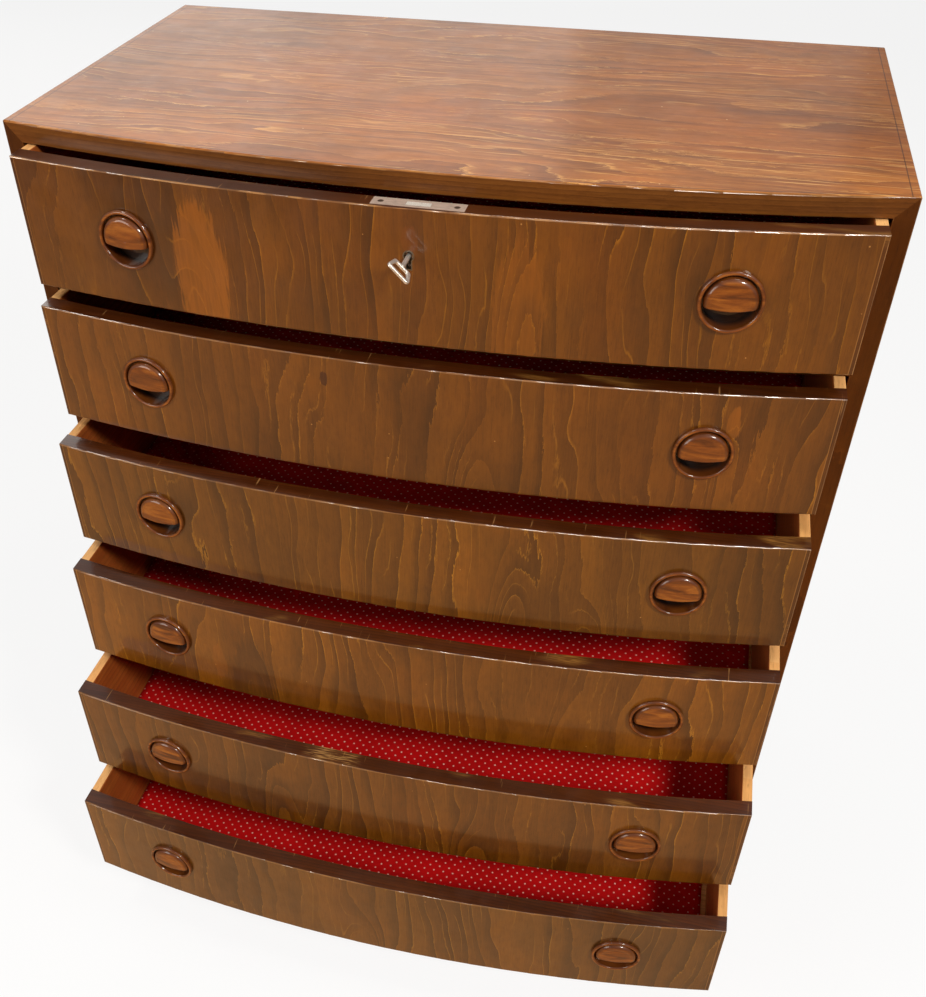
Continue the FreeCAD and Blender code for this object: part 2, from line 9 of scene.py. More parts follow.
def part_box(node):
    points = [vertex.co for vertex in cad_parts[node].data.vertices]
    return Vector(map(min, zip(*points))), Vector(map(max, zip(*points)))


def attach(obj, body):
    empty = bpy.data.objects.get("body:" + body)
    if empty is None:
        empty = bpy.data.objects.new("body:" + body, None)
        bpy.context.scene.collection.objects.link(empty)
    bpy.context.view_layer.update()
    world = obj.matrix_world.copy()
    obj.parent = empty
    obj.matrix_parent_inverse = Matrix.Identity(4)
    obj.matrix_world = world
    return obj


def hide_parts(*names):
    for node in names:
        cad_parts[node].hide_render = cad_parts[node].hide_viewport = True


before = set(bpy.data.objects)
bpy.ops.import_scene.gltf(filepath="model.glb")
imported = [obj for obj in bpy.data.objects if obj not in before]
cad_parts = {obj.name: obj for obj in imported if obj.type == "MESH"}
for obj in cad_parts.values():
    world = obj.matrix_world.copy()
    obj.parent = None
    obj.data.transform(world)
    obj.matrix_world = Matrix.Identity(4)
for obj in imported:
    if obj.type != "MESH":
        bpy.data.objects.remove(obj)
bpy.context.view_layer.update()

# Bow-fronted chest of six drawers with cloth linings, seen from above.
# Metres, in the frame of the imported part: +Z up, drawers pull along -Y.

DRAWERS = range(1, 7)
WHITE = (1.0, 1.0, 1.0)
NO_SHIFT = (0.0, 0.0, 0.0)

# Camera
IMAGE_SIZE = (926, 997)
LENS_PX = 1103.1                # focal length in pixels of the image
CENTRE_PX = (430.7, 573.6)      # where the camera's axis meets the image
CAMERA_PLACE = (0.2239, -1.0049, 1.2788)
CAMERA_TURN = (49.467, 0.176, 13.501)    # degrees about X, Y and Z
SENSOR_MM = 36.0
FARTHEST_SEEN = 200.0

# Light: each panel's name, place, aim, width and height, and brightness where white is 1
AMBIENT_COLOUR = (1.0, 0.94, 0.86)
AMBIENT_STRENGTH = 0.13
PANELS = (
    ("key", (2.0, -1.78, 2.6), (0.0, -0.15, 0.5), (0.55, 0.55), 76.0),
    ("fill", (-1.5, -1.8, 1.4), (0.0, -0.2, 0.5), (1.2, 1.2), 4.8),
    ("overhead_left", (-1.2, -0.3, 3.1), (0.0, 0.0, 0.94), (0.55, 0.45), 18.5),
    ("overhead_right", (0.9, 0.0, 3.1), (0.0, 0.0, 0.94), (0.9, 0.6), 8.5),
    ("window_wide", (-1.72, 3.3, 2.15), (-1.72, 0.0, 0.94), (4.95, 1.9), 0.45),
    ("window_middle", (-2.25, 3.4, 2.18), (-2.25, 0.0, 0.94), (3.9, 1.9), 0.75),
    ("window_narrow", (-2.85, 3.5, 2.21), (-2.85, 0.0, 0.94), (2.7, 1.9), 0.45),
)
PANEL_COLOUR = (1.0, 0.96, 0.9)
FLOOR_SIZE = 80.0
FLOOR_COLOUR = (0.62, 0.34, 0.13)    # in reflections and in the light that it throws back
FLOOR_SEEN = (0.9, 0.89, 0.88)  # as the camera sees it, under the plain white
FLOOR_WHITE = 0.86              # share of plain white in what the camera sees of the floor
FLOOR_ROUGHNESS = 0.9
GLOSSY_SHARE = 0.25             # share of the white background that reflections see
FLOOR_GLOSSY_SHARE = 0.08       # the same for the floor

# Form
BOW_RADIUS = 2.1243             # outer face of the drawer fronts and the case
FRONT_THICKNESS = 0.019
STRIP_FRONT = 0.004             # strip of solid wood along the top's front edge
STRIP_SIDE = 0.007              # the same along its side edges
STRIP_JOINT = (0.0007, 0.0003)  # how far its dark joint reaches, faint and whole
LIPPING_WIDTH = 0.004           # strip of solid wood at both ends of a drawer front
LIPPING_BLUR = 0.0004           # width of its inner edge
LIPPING_JOINT = (0.0005, 0.0002)    # how far its pale joint reaches, faint and whole
HOLLOW_SHADE_DEPTH = 0.011            # behind the front's face, where the painted shade in a pull's hollow is darkest

# Cloth
CLOTH_CELL = 0.008              # side of one face of a lining's mesh
CLOTH_RIPPLE = 0.0012           # height of the ripples at most
CLOTH_THICKNESS = 0.0006
RIPPLES = 9.0                   # how many there are to a metre
RIPPLE_SHIFT = 5.0              # between one drawer's ripples and the next one's
DOT_PITCH = 0.012               # between dots in a row
DOT_ROW = 0.0065                # between rows
DOT_RADIUS = 0.00105
DOT_BLUR = 0.0004               # width of a dot's edge, and how ragged it is
THREAD = 0.0006                 # two threads of the weave


# Noises: waves in a metre along the grain, across it and through it, then detail, roughness
# and distortion
Noise = namedtuple("Noise", "waves detail roughness distortion", defaults=(2.0, 0.5, 0.0))

SWAYS = Noise((1.4, 5.0), 1.0)
SWIRLS = Noise((8.0, 24.0), 1.5)
TEARS = Noise((60.0, 480.0), 3.0, 0.65)
TORN_PATCHES = Noise((5.0, 14.0), 0.0)
LIVELY_PATCHES = Noise((3.0, 11.0), 2.0)
LINE_PATCHES = Noise((9.0, 30.0), 1.0)
FIBRES = Noise((26.0, 850.0, 300.0), 3.0, 0.6)
PORES = Noise((90.0, 1700.0, 900.0), 1.0)
STAINS = Noise((5.0, 8.0, 8.0), 4.0, 0.6)
MOTTLES = Noise((70.0, 190.0, 120.0), 4.0, 0.7)
SPOT_EDGES = Noise((22.0, 300.0), 4.0, 0.7)
RUBBED_EDGES = Noise((45.0, 45.0, 45.0), 4.0)
LACQUER_CLOUDS = Noise((40.0, 40.0, 40.0))
SCUFFS = Noise((9.0, 30.0, 30.0))
SCRATCHES = Noise((60.0, 900.0, 900.0))
CUTS = Noise((420.0, 25.0, 25.0), 1.0)
TOP_STREAKS = Noise((5.0, 130.0), 4.0, 0.65)
TOP_FLECKS = Noise((9.0, 300.0), 3.0, 0.6)
FLECK_PATCHES = Noise((4.0, 11.0), 1.0)
PULL_SWIRLS = Noise((24.0, 40.0, 150.0), 3.0, distortion=0.8)
PULL_FIBRES = Noise((60.0, 1500.0, 1500.0))
BRUSHING = Noise((70.0, 2600.0, 2600.0), 3.0)
TARNISH = Noise((160.0, 160.0, 160.0), 4.0)
RAGGED_DOTS = Noise((900.0, 900.0, 900.0), 1.0)
CLOTH_CLOUDS = Noise((14.0, 14.0, 14.0), 3.0)

# Layers of colour over a noise: the value at which a layer begins, the value at which it is
# whole, its strength there, and what it multiplies the colour by
FIBRE_LAYER = (0.35, 0.72, 0.45, (0.66, 0.6, 0.55))
PORE_LAYER = (0.62, 0.72, 0.4, (0.45, 0.38, 0.32))
STAIN_LAYER = (0.45, 0.68, 0.75, (0.64, 0.62, 0.64))
BLEACH_LAYER = (0.5, 0.3, 0.55, (1.35, 1.25, 1.0))
MOTTLE_LAYER = (0.4, 0.7, 0.5, (0.7, 0.66, 0.62))
STREAK_LAYER = (0.45, 0.7, 0.7, (0.62, 0.56, 0.5))
FORWARD_LAYER = (0.1, -0.25, 1.0, (1.3, 1.3, 1.2))    # over the place along Y of the top
PULL_LAYER = (0.4, 0.7, 0.4, (0.6, 0.55, 0.5))


class Tree:
    """Node tree, built call by call."""

    def __init__(self, tree):
        self.tree = tree

    def add(self, kind, **settings):
        node = self.tree.nodes.new(kind)
        for key, value in settings.items():
            setattr(node, key, value)
        return node

    def plug(self, socket, value):
        """Link an output to a socket, or give the socket a plain value."""
        if isinstance(value, bpy.types.NodeSocket):
            self.tree.links.new(value, socket)
        elif value is not None:
            socket.default_value = value

    def math(self, operation, a, b=None, c=None, clamp=False):
        node = self.add("ShaderNodeMath", operation=operation, use_clamp=clamp)
        for socket, value in zip(node.inputs, (a, b, c)):
            self.plug(socket, value)
        return node.outputs[0]

    def product(self, a, b):
        return self.math("MULTIPLY", a, b)

    def apart(self, a, b):
        """How far two values lie apart."""
        return self.math("ABSOLUTE", self.math("SUBTRACT", a, b))

    def length(self, a, b):
        """Length of the long side over two short sides at a right angle."""
        return self.math("SQRT", self.math("MULTIPLY_ADD", a, a, self.product(b, b)))

    def mix(self, share, a, b, blend="MIX"):
        node = self.add("ShaderNodeMix", data_type="RGBA", blend_type=blend)
        self.plug(node.inputs["Factor"], share)
        for name, value in (("A", a), ("B", b)):
            socket = [s for s in node.inputs if s.name == name and s.type == "RGBA"][0]
            self.plug(socket, (*value, 1.0) if isinstance(value, tuple) else value)
        return [s for s in node.outputs if s.type == "RGBA"][0]

    def white_share(self, glossy):
        """How much of the white background a ray sees: all of it, but only part in reflections."""
        path = self.add("ShaderNodeLightPath")
        seen = self.math("ADD", path.outputs["Is Camera Ray"], path.outputs["Is Transmission Ray"])
        return self.math("MULTIPLY_ADD", path.outputs["Is Glossy Ray"], glossy, seen, clamp=True)


class Shader(Tree):
    """Node tree of one material."""

    def __init__(self, name):
        self.material = bpy.data.materials.new(name)
        self.material.use_nodes = True
        super().__init__(self.material.node_tree)
        self.bsdf = self.tree.nodes["Principled BSDF"]
        self.coords = self.add("ShaderNodeTexCoord")

    def stretched(self, scale, shift=NO_SHIFT):
        """Object coordinates times scale, so that a noise gets its own size along each axis."""
        node = self.add("ShaderNodeMapping")
        self.plug(node.inputs["Vector"], self.coords.outputs["Object"])
        node.inputs["Scale"].default_value = scale
        node.inputs["Location"].default_value = shift
        return node.outputs[0]

    def noise(self, kind, grain="XY", shift=NO_SHIFT):
        """One of the noises above, laid along a grain such as "ZX"."""
        node = self.add("ShaderNodeTexNoise")
        self.plug(node.inputs["Vector"], self.stretched(grain_scale(grain, *kind.waves), shift))
        settings = {"Scale": 1.0, "Detail": kind.detail, "Roughness": kind.roughness,
                    "Distortion": kind.distortion}
        for name, value in settings.items():
            node.inputs[name].default_value = value
        return node.outputs["Fac"]

    def white_noise(self, socket, value, dimensions):
        """A number from 0 to 1 of its own for each value."""
        node = self.add("ShaderNodeTexWhiteNoise", noise_dimensions=dimensions)
        self.plug(node.inputs[socket], value)
        return node.outputs["Value"]

    def axis(self, name, source="Object"):
        node = self.add("ShaderNodeSeparateXYZ")
        self.plug(node.inputs[0], self.coords.outputs[source])
        return node.outputs["XYZ".index(name)]

    def steps(self, value, low, high, to_low=0.0, to_high=1.0):
        """Value mapped smoothly from low..high to another range, and held at its ends."""
        node = self.add("ShaderNodeMapRange", interpolation_type="SMOOTHSTEP")
        for socket, item in zip(node.inputs, (value, low, high, to_low, to_high)):
            self.plug(socket, item)
        return node.outputs["Result"]

    def ramp(self, value, stops):
        node = self.add("ShaderNodeValToRGB")
        self.plug(node.inputs["Fac"], value)
        elements = node.color_ramp.elements
        while len(elements) < len(stops):
            elements.new(0.5)
        for element, (place, colour) in zip(elements, stops):
            element.position = place
            element.color = (*colour, 1.0)
        return node.outputs["Color"]

    def tinted(self, colour, factor):
        """Colour multiplied by a factor for each channel."""
        return self.mix(1.0, colour, factor, "MULTIPLY")

    def layered(self, colour, value, layer, strength=1.0):
        """Colour with one of the layers above, over a noise or another value."""
        begins, whole, most, factor = layer
        share = self.steps(value, begins, whole, 0.0, most * strength)
        return self.mix(share, colour, self.tinted(colour, factor))

    def bump(self, height, strength, distance):
        node = self.add("ShaderNodeBump")
        node.inputs["Strength"].default_value = strength
        node.inputs["Distance"].default_value = distance
        self.plug(node.inputs["Height"], height)
        self.plug(self.bsdf.inputs["Normal"], node.outputs["Normal"])

    def finish(self, colour, roughness, metallic=0.0, coat=0.0, coat_roughness=0.1, ior=1.5):
        self.plug(self.bsdf.inputs["Base Color"], colour)
        self.plug(self.bsdf.inputs["Roughness"], roughness)
        self.bsdf.inputs["Metallic"].default_value = metallic
        self.bsdf.inputs["Coat Weight"].default_value = coat
        self.bsdf.inputs["Coat Roughness"].default_value = coat_roughness
        self.bsdf.inputs["IOR"].default_value = ior
        return self.material


def grain_scale(grain, along, across, through=0.0):
    """Scales of a noise for a grain such as "ZX": along Z, across X and through the third axis."""
    scales = {grain[0]: along, grain[1]: across}
    return tuple(scales.get(name, through) for name in "XYZ")


def srgb(code):
    """Linear colour of a hexadecimal sRGB code."""
    parts = [int(code[i:i + 2], 16) / 255 for i in (0, 2, 4)]
    return tuple(c / 12.92 if c <= 0.04045 else ((c + 0.055) / 1.055) ** 2.4 for c in parts)


def palette(*codes):
    return tuple(srgb(code) for code in codes)


# Wood

# Dark, middle, light and line of each wood, in sRGB
FRONT_TONES = palette("4c2a0c", "7e4e1e", "9e672a", "d09850")
TOP_TONES = palette("7e4614", "a45e20", "b8742e", "eeb262")
CASE_TONES = palette("431f03", "522903", "643407", "7c4614")
BAND_TONES = palette("623611", "734216", "854f1c", "9c652a")
LIPPING_TONES = palette("331504", "461e05", "5a2b0a", "7c4616")
PALE_TONES = palette("d6964c", "f0b06a", "fac480", "fcd090")
# inner faces of drawer sides: painted shade and red light thrown back by the cloth
INNER_SHADE_TONES = palette("8a3c0c", "a65218", "b66322", "c67836")

# Dark, middle and light of the pulls, and the painted shade at the bottom of their hollows
PULL_TONES = palette("54280c", "854614", "a66220")
HOLLOW_SHADE_TONE = srgb("160903")

# Marks, joints and wear, and a painted shadow
FLAME_TONE = srgb("9c5810")
STAIN_TONE = srgb("3c1608")
# dark patch of the veneer on the fourth front, and the painted shadow of a pull on the first
DARK_PATCH_AND_SHADOW_TONE = srgb("4c2a0c")
KEYHOLE_TONE = srgb("7c3e08")
WORN_TONE = srgb("b5824c")
SCUFF_TONE = srgb("95662e")
CUT_TONE = srgb("a87a48")
BARE_TONE = srgb("b98a50")
FRONT_SPECK_TONE = srgb("c89050")
TOP_SPECK_TONE = srgb("f0c890")
TOP_FLECK_TONE = srgb("e4a860")
LIPPING_JOINT_TONE = srgb("b07a40")
STRIP_JOINT_TONE = srgb("3a1d0a")

# Spacing of the rings in metres, then sway, swirl and torn edges in rings
FRONT_FIGURE = (0.023, 5.5, 1.9, 0.25)
TOP_FIGURE = (0.026, 7.0, 2.6, 0.5)
CASE_FIGURE = (0.022, 6.0, 1.5, 0.4)
BAND_FIGURE = (0.004, 2.0, 0.8, 0.3)
PALE_FIGURE = (0.008, 3.0, 1.0, 0.2)

# Strength of the bright lines along the rings, and their width in rings
FRONT_LINES = 0.85
TOP_LINES = 0.7
CASE_LINES = 0.4
EDGE_LINES = 0.3
PALE_LINES = 0.25
LINE_WIDTH = 0.06
TOP_LINE_WIDTH = 0.11

# Strength of the stains, where it isn't 1
CASE_STAINED = 0.4
PALE_STAINED = 0.15
INNER_SHADE_STAINED = 0.4

# Seeds, which set boards apart in the noises
FRONT_SEED = 3.0
LIPPING_SEED = 11.0
TOP_SEED = 2.0
BAND_SEED = 6.0
RING_SHIFT = (3.7, 1.3, 2.1)    # in the rings' noises, for a seed of 1
RING_SEED = 17.0                # in the rings' own tones, for a seed of 1
PATCH_PLACE = (4.0, 1.0)        # in the patches' noises along Y and Z, with the seed along X
LAYER_PLACE = (0.0, 2.0)        # the same in the layers' noises
PULL_PLACE = (2.0, 5.0)         # the same in the pulls' swirls
STREAK_SHIFT = (1.0, 3.0, 0.0)
FLECK_SHIFT = (4.0, 0.0, 0.0)
FLECK_PATCH_SHIFT = (9.0, 2.0, 0.0)
SCUFF_SHIFT = 5.0               # along X, from one front to the next
CUT_SHIFT = 3.0                 # the same

# Lacquers
FRONT_LACQUER = {"coat": 1.0, "coat_roughness": 0.12, "roughness": 0.35, "ior": 1.35}
TOP_LACQUER = {"coat": 0.5, "coat_roughness": 0.18, "roughness": 0.55, "ior": 1.15}
CASE_LACQUER = {"coat": 0.2, "coat_roughness": 0.13, "roughness": 0.5, "ior": 1.2}
PULL_LACQUER = {"coat": 0.8, "coat_roughness": 0.07, "roughness": 0.4, "ior": 1.3}

# Strength of the paler, rubbed edges
EDGE_WEAR = 0.55
FRONT_WEAR = {1: 0.7, 2: 0.35, 3: 0.35, 4: 0.35, 5: 0.35, 6: 0.35}

# Stain of each front next to the common one
FRONT_TINTS = {
    1: (0.62, 0.49, 0.09),
    2: (0.68, 0.55, 0.18),
    3: (0.73, 0.66, 0.22),
    4: (0.88, 0.77, 0.26),
    5: (0.68, 0.60, 0.22),
    6: (0.64, 0.62, 0.26),
}

# Marks on drawer fronts: colour, place along X, share of the height, half width and half
# height, strength
MARKS = {
    1: (
        # painted shadow of the left pull, along the right side of its ring
        (DARK_PATCH_AND_SHADOW_TONE, -0.230, 0.42, (0.008, 0.045), 0.5),
        (FLAME_TONE, -0.195, 0.34, (0.026, 0.066), 0.65),
        (FLAME_TONE, 0.094, 0.30, (0.022, 0.066), 0.35),
        (KEYHOLE_TONE, 0.001, 0.78, (0.007, 0.013), 0.4),
    ),
    2: (
        (STAIN_TONE, -0.081, 0.82, (0.004, 0.007), 0.9),
        (FLAME_TONE, 0.289, 0.76, (0.006, 0.018), 0.6),
    ),
    4: (
        (DARK_PATCH_AND_SHADOW_TONE, -0.168, 0.12, (0.024, 0.070), 0.6),
        (FLAME_TONE, -0.207, 0.34, (0.008, 0.026), 0.35),
    ),
}

# Scratched places on the top edges of fronts: place along X and half width
RUBBED = {5: (-0.066, 0.036)}

# Arches of the grain on drawer fronts: place along X, share of the height, half width and half
# height, and how many rings they hold
ARCHES = {
    1: ((0.094, 0.05, (0.030, 0.105), 1.6), (-0.195, 0.10, (0.036, 0.095), -1.4)),
    2: ((0.289, 0.40, (0.014, 0.060), 1.0), (0.060, -0.20, (0.034, 0.130), 2.4)),
    3: ((0.108, -0.25, (0.034, 0.155), 3.2), (0.190, -0.20, (0.030, 0.100), -1.6)),
    4: ((-0.160, 0.00, (0.030, 0.090), -1.8), (0.180, -0.20, (0.030, 0.130), 2.2)),
    5: ((-0.130, -0.10, (0.028, 0.130), 2.0), (0.090, -0.10, (0.030, 0.110), 1.8)),
    6: ((-0.020, -0.10, (0.034, 0.100), -2.0),),
}
ARCH_BELOW = -0.35              # what a height below an arch's centre is multiplied by


def from_centre(s, centre, size):
    """Place on a front along X and Z, from a centre, in half widths and half heights."""
    aside = s.math("DIVIDE", s.math("SUBTRACT", s.axis("X"), centre[0]), size[0])
    above = s.math("DIVIDE", s.math("SUBTRACT", s.axis("Z"), centre[1]), size[1])
    return aside, above


def arch(s, centre, size):
    """Smooth hump that is 1 at its centre, and reaches further down than up."""
    aside, above = from_centre(s, centre, size)
    above = s.math("MAXIMUM", above, s.product(above, ARCH_BELOW))
    away = s.math("MULTIPLY_ADD", aside, aside, s.product(above, above))
    near = s.math("SUBTRACT", 1.0, away, clamp=True)
    return s.product(near, near)


# Ranges of a noise or another value: where an effect begins and where it is whole, then, if
# they aren't 0 and 1, its strength at the first and at the second
TORN_RANGE = (0.4, 0.65)
TORN_LEAST = 0.3
TORN_MOST = 1.5
LIVELY_RANGE = (0.4, 0.6, 0.3, 1.0)
OWN_TONE_RANGE = (0.0, 1.0, 0.0, 0.6)
LIGHT_EDGE_RANGE = (0.0, 0.3, 0.35, 0.0)
DARK_EDGE_RANGE = (0.35, 1.0, 0.0, 0.65)
LINE_RANGE = (0.4, 0.6)
LINE_LEAST = 0.1
INNER_LINE_PLACE = (0.3, 0.7, 0.3, 0.7)
INNER_LINE_RANGE = (0.45, 0.6)
INNER_LINE_STRENGTH = 0.55      # next to the line at the ring's edge
INNER_LINE_WIDTH = 0.6          # the same


def growth_rings(s, grain, figure, seed, arches):
    """Place within a growth ring from 0 to 1, and the ring's number, for rings that swirl."""
    spacing, sway, swirl, torn = figure
    shift = tuple(seed * part for part in RING_SHIFT)
    field = s.product(s.axis(grain[1]), 1.0 / spacing)
    field = s.math("MULTIPLY_ADD", s.noise(SWAYS, grain, shift), sway, field)
    field = s.math("MULTIPLY_ADD", s.noise(SWIRLS, grain, shift), swirl, field)
    for centre, size, rings in arches:
        field = s.math("MULTIPLY_ADD", arch(s, centre, size), rings, field)
    patches = s.noise(TORN_PATCHES, grain, shift)
    reach = s.steps(patches, *TORN_RANGE, TORN_LEAST * torn, TORN_MOST * torn)
    field = s.math("ADD", s.product(s.noise(TEARS, grain, shift), reach), field)
    return s.math("FRACT", field), s.math("FLOOR", field)


def ring_colour(s, ring, own, tones, lively):
    """Colour of a ring of its own tone, lighter towards one edge and darker towards the other."""
    dark, middle, light, _ = tones
    colour = s.mix(s.steps(own, *OWN_TONE_RANGE), middle, light)
    colour = s.mix(s.product(s.steps(ring, *LIGHT_EDGE_RANGE), lively), colour, light)
    return s.mix(s.product(s.steps(ring, *DARK_EDGE_RANGE), lively), colour, dark)


def with_lines(s, colour, ring, patches, lively, line, strength, width):
    """Colour with a bright line at each ring's edge, and a fainter one inside some rings."""
    bright = s.product(s.steps(patches, *LINE_RANGE, LINE_LEAST, strength), lively)
    colour = s.mix(s.product(s.steps(ring, width, 0.0), bright), colour, line)
    inside = s.steps(patches, *INNER_LINE_PLACE)
    faint = s.steps(patches, *INNER_LINE_RANGE, 0.0, INNER_LINE_STRENGTH * strength)
    thin = s.steps(s.apart(ring, inside), width * INNER_LINE_WIDTH, 0.0)
    return s.mix(s.product(thin, faint), colour, line)


def veneer(s, grain, tones, figure, seed, line_strength, stained=1.0,
           line_width=LINE_WIDTH, arches=()):
    """Colour of stained wood with its rings, fibres, pores and stains, and the fibres' noise."""
    ring, number = growth_rings(s, grain, figure, seed, arches)
    own = s.white_noise("W", s.math("ADD", number, seed * RING_SEED), "1D")
    shift = (seed, *PATCH_PLACE)
    lively = s.steps(s.noise(LIVELY_PATCHES, grain, shift), *LIVELY_RANGE)
    patches = s.noise(LINE_PATCHES, grain, shift)
    colour = ring_colour(s, ring, own, tones, lively)
    colour = with_lines(s, colour, ring, patches, lively, tones[-1], line_strength, line_width)
    shift = (seed, *LAYER_PLACE)
    fibres = s.noise(FIBRES, grain, shift)
    stains = s.noise(STAINS, grain, shift)
    colour = s.layered(colour, fibres, FIBRE_LAYER)
    colour = s.layered(colour, s.noise(PORES, grain, shift), PORE_LAYER)
    colour = s.layered(colour, stains, STAIN_LAYER, stained)
    colour = s.layered(colour, stains, BLEACH_LAYER, stained)
    return s.layered(colour, s.noise(MOTTLES, grain, shift), MOTTLE_LAYER, stained), fibres


SPECK_CELLS = 55.0              # places for a speck to a metre
SPECK_EDGE = (0.05, 0.025)      # where a speck begins and is whole, in cells
SPECK_SHARE = 0.2               # how many of the places have one
SPECK_STRENGTH = 0.7


def with_specks(s, colour, tone):
    """Colour with a few small pale dots, where the finish is chipped."""
    cells = s.add("ShaderNodeTexVoronoi")
    s.plug(cells.inputs["Vector"], s.stretched((SPECK_CELLS,) * 3))
    cells.inputs["Scale"].default_value = 1.0
    own = s.white_noise("Vector", cells.outputs["Position"], "3D")
    chosen = s.math("GREATER_THAN", own, 1.0 - SPECK_SHARE)
    dot = s.product(s.steps(cells.outputs["Distance"], *SPECK_EDGE), chosen)
    return s.mix(s.product(dot, SPECK_STRENGTH), colour, tone)


SPOT_TEAR = 1.3                 # how far the tears reach, in half sizes of the spot
SPOT_RANGE = (1.72, 1.56)
SPOT_GRAIN_RANGE = (0.62, 0.4, 0.7, 1.0)


def torn_spot(s, centre, size):
    """Mask of an upright oval with torn edges on a front, at centre along X and Z."""
    away = s.length(*from_centre(s, centre, size))
    torn = s.noise(SPOT_EDGES, "ZX")
    spot = s.steps(s.math("MULTIPLY_ADD", torn, SPOT_TEAR, away), *SPOT_RANGE)
    return s.product(spot, s.steps(torn, *SPOT_GRAIN_RANGE))


ARRIS_RANGE = (0.95, 0.85)
WORN_RANGE = (0.42, 0.62)
WORN_LEAST = 0.15


def arris(s):
    """Mask of the rounded edges, where the normal points along no axis."""
    parts = s.add("ShaderNodeSeparateXYZ")
    s.plug(parts.inputs[0], s.coords.outputs["Normal"])
    sizes = [s.math("ABSOLUTE", output) for output in parts.outputs]
    largest = s.math("MAXIMUM", s.math("MAXIMUM", sizes[0], sizes[1]), sizes[2])
    return s.steps(largest, *ARRIS_RANGE)


def worn(s, colour, seed, strength):
    """Colour with paler, rubbed edges."""
    rubbed = s.noise(RUBBED_EDGES, shift=(seed, 0.0, 0.0))
    mask = s.product(arris(s), s.steps(rubbed, *WORN_RANGE, WORN_LEAST, strength))
    return s.mix(mask, colour, WORN_TONE)


# Reliefs: strength, and height in metres
LACQUER_RELIEF = (0.16, 0.0002)
PALE_RELIEF = (0.3, 0.0002)
PULL_RELIEF = (0.05, 0.0002)
WEAVE_RELIEF = (0.35, 0.0002)
BRUSHING_HEIGHT = 0.0001

CLOUD_RELIEF = 0.4              # of the lacquer's clouds next to the fibres
CLOUD_RANGE = (0.3, 0.7)
LESS_ROUGH = 0.07
MORE_ROUGH = 0.09


def lacquer(s, colour, fibres, roughness, **coat):
    """Semi-gloss finish over stained wood, a little uneven."""
    clouds = s.noise(LACQUER_CLOUDS)
    s.bump(s.math("MULTIPLY_ADD", clouds, CLOUD_RELIEF, fibres), *LACQUER_RELIEF)
    rough = s.steps(clouds, *CLOUD_RANGE, roughness - LESS_ROUGH, roughness + MORE_ROUGH)
    return s.finish(colour, rough, **coat)


def behind_bow(s, low):
    """How far a point lies behind a bowed face whose foremost point is at low."""
    back = s.math("SUBTRACT", low.y + BOW_RADIUS, s.axis("Y"))
    return s.math("SUBTRACT", BOW_RADIUS, s.length(s.axis("X"), back))


def front_face(s, number, low, high):
    """Upright veneer of a drawer front with its arches, its stain and its marks."""
    def centre(place, share):
        return place, low.z + share * (high.z - low.z)

    arches = [(centre(place, share), size, rings) for place, share, size, rings in ARCHES[number]]
    seed = FRONT_SEED + number
    face, fibres = veneer(s, "ZX", FRONT_TONES, FRONT_FIGURE, seed, FRONT_LINES, arches=arches)
    face = s.tinted(face, FRONT_TINTS[number])
    for tone, place, share, size, strength in MARKS.get(number, ()):
        spot = torn_spot(s, centre(place, share), size)
        face = s.mix(s.product(spot, strength), face, tone)
    return with_specks(s, face, FRONT_SPECK_TONE), fibres


SCUFF_RANGE = (0.6, 0.7)
SCRATCH_RANGE = (0.4, 0.6, 0.2, 0.8)
CUT_RANGE = (0.72, 0.8, 0.0, 0.7)
BARE_RANGE = (0.48, 0.62, 0.05, 0.7)
BARE_MIDDLE = 0.5               # share of a scratched place where it's whole


def lipping(s, number):
    """Strips of solid wood round a drawer front, with scuffs, cuts and a scratched place."""
    seed = LIPPING_SEED + number
    edge, _ = veneer(s, "XY", LIPPING_TONES, BAND_FIGURE, seed, EDGE_LINES)
    scratches = s.noise(SCRATCHES)
    scuffs = s.steps(s.noise(SCUFFS, shift=(number * SCUFF_SHIFT, 0.0, 0.0)), *SCUFF_RANGE)
    scuffs = s.product(scuffs, s.steps(scratches, *SCRATCH_RANGE))
    edge = s.mix(scuffs, edge, SCUFF_TONE)
    cuts = s.noise(CUTS, shift=(number * CUT_SHIFT, 0.0, 0.0))
    edge = s.mix(s.steps(cuts, *CUT_RANGE), edge, CUT_TONE)
    if number in RUBBED:
        place, wide = RUBBED[number]
        near = s.steps(s.apart(s.axis("X"), place), wide, wide * BARE_MIDDLE)
        edge = s.mix(s.product(near, s.steps(scratches, *BARE_RANGE)), edge, BARE_TONE)
    return edge


# On a front: the strip's share of the colour, the joint's, and the faces that look forward
STRIP_STRENGTH = 0.7
JOINT_STRENGTH = 0.5
FORWARD_RANGE = (-0.4, -0.6)


def front_material(number):
    """Veneered drawer front: upright grain in front, lipping along the edges and behind."""
    s = Shader(f"front_veneer_{number}")
    low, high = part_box(f"drawer_{number}_front")
    face, fibres = front_face(s, number, low, high)
    edge = lipping(s, number)
    inward = s.math("SUBTRACT", high.x, s.math("ABSOLUTE", s.axis("X")))
    inner = LIPPING_WIDTH - LIPPING_BLUR
    strip = s.steps(inward, LIPPING_WIDTH, inner, 0.0, STRIP_STRENGTH)
    joint = s.steps(s.apart(inward, LIPPING_WIDTH), *LIPPING_JOINT, 0.0, JOINT_STRENGTH)
    face = s.mix(joint, s.mix(strip, face, edge), LIPPING_JOINT_TONE)
    colour = s.mix(s.steps(s.axis("Y", "Normal"), *FORWARD_RANGE), edge, face)
    return lacquer(s, worn(s, colour, number, FRONT_WEAR[number]), fibres, **FRONT_LACQUER)


def strip_joint(s, low, high):
    """Mask of the joint between the top's veneer and the strip along its edges."""
    front = s.apart(behind_bow(s, low), STRIP_FRONT)
    side = s.apart(s.math("ABSOLUTE", s.axis("X")), high.x - STRIP_SIDE)
    return s.steps(s.math("MINIMUM", front, side), *STRIP_JOINT)


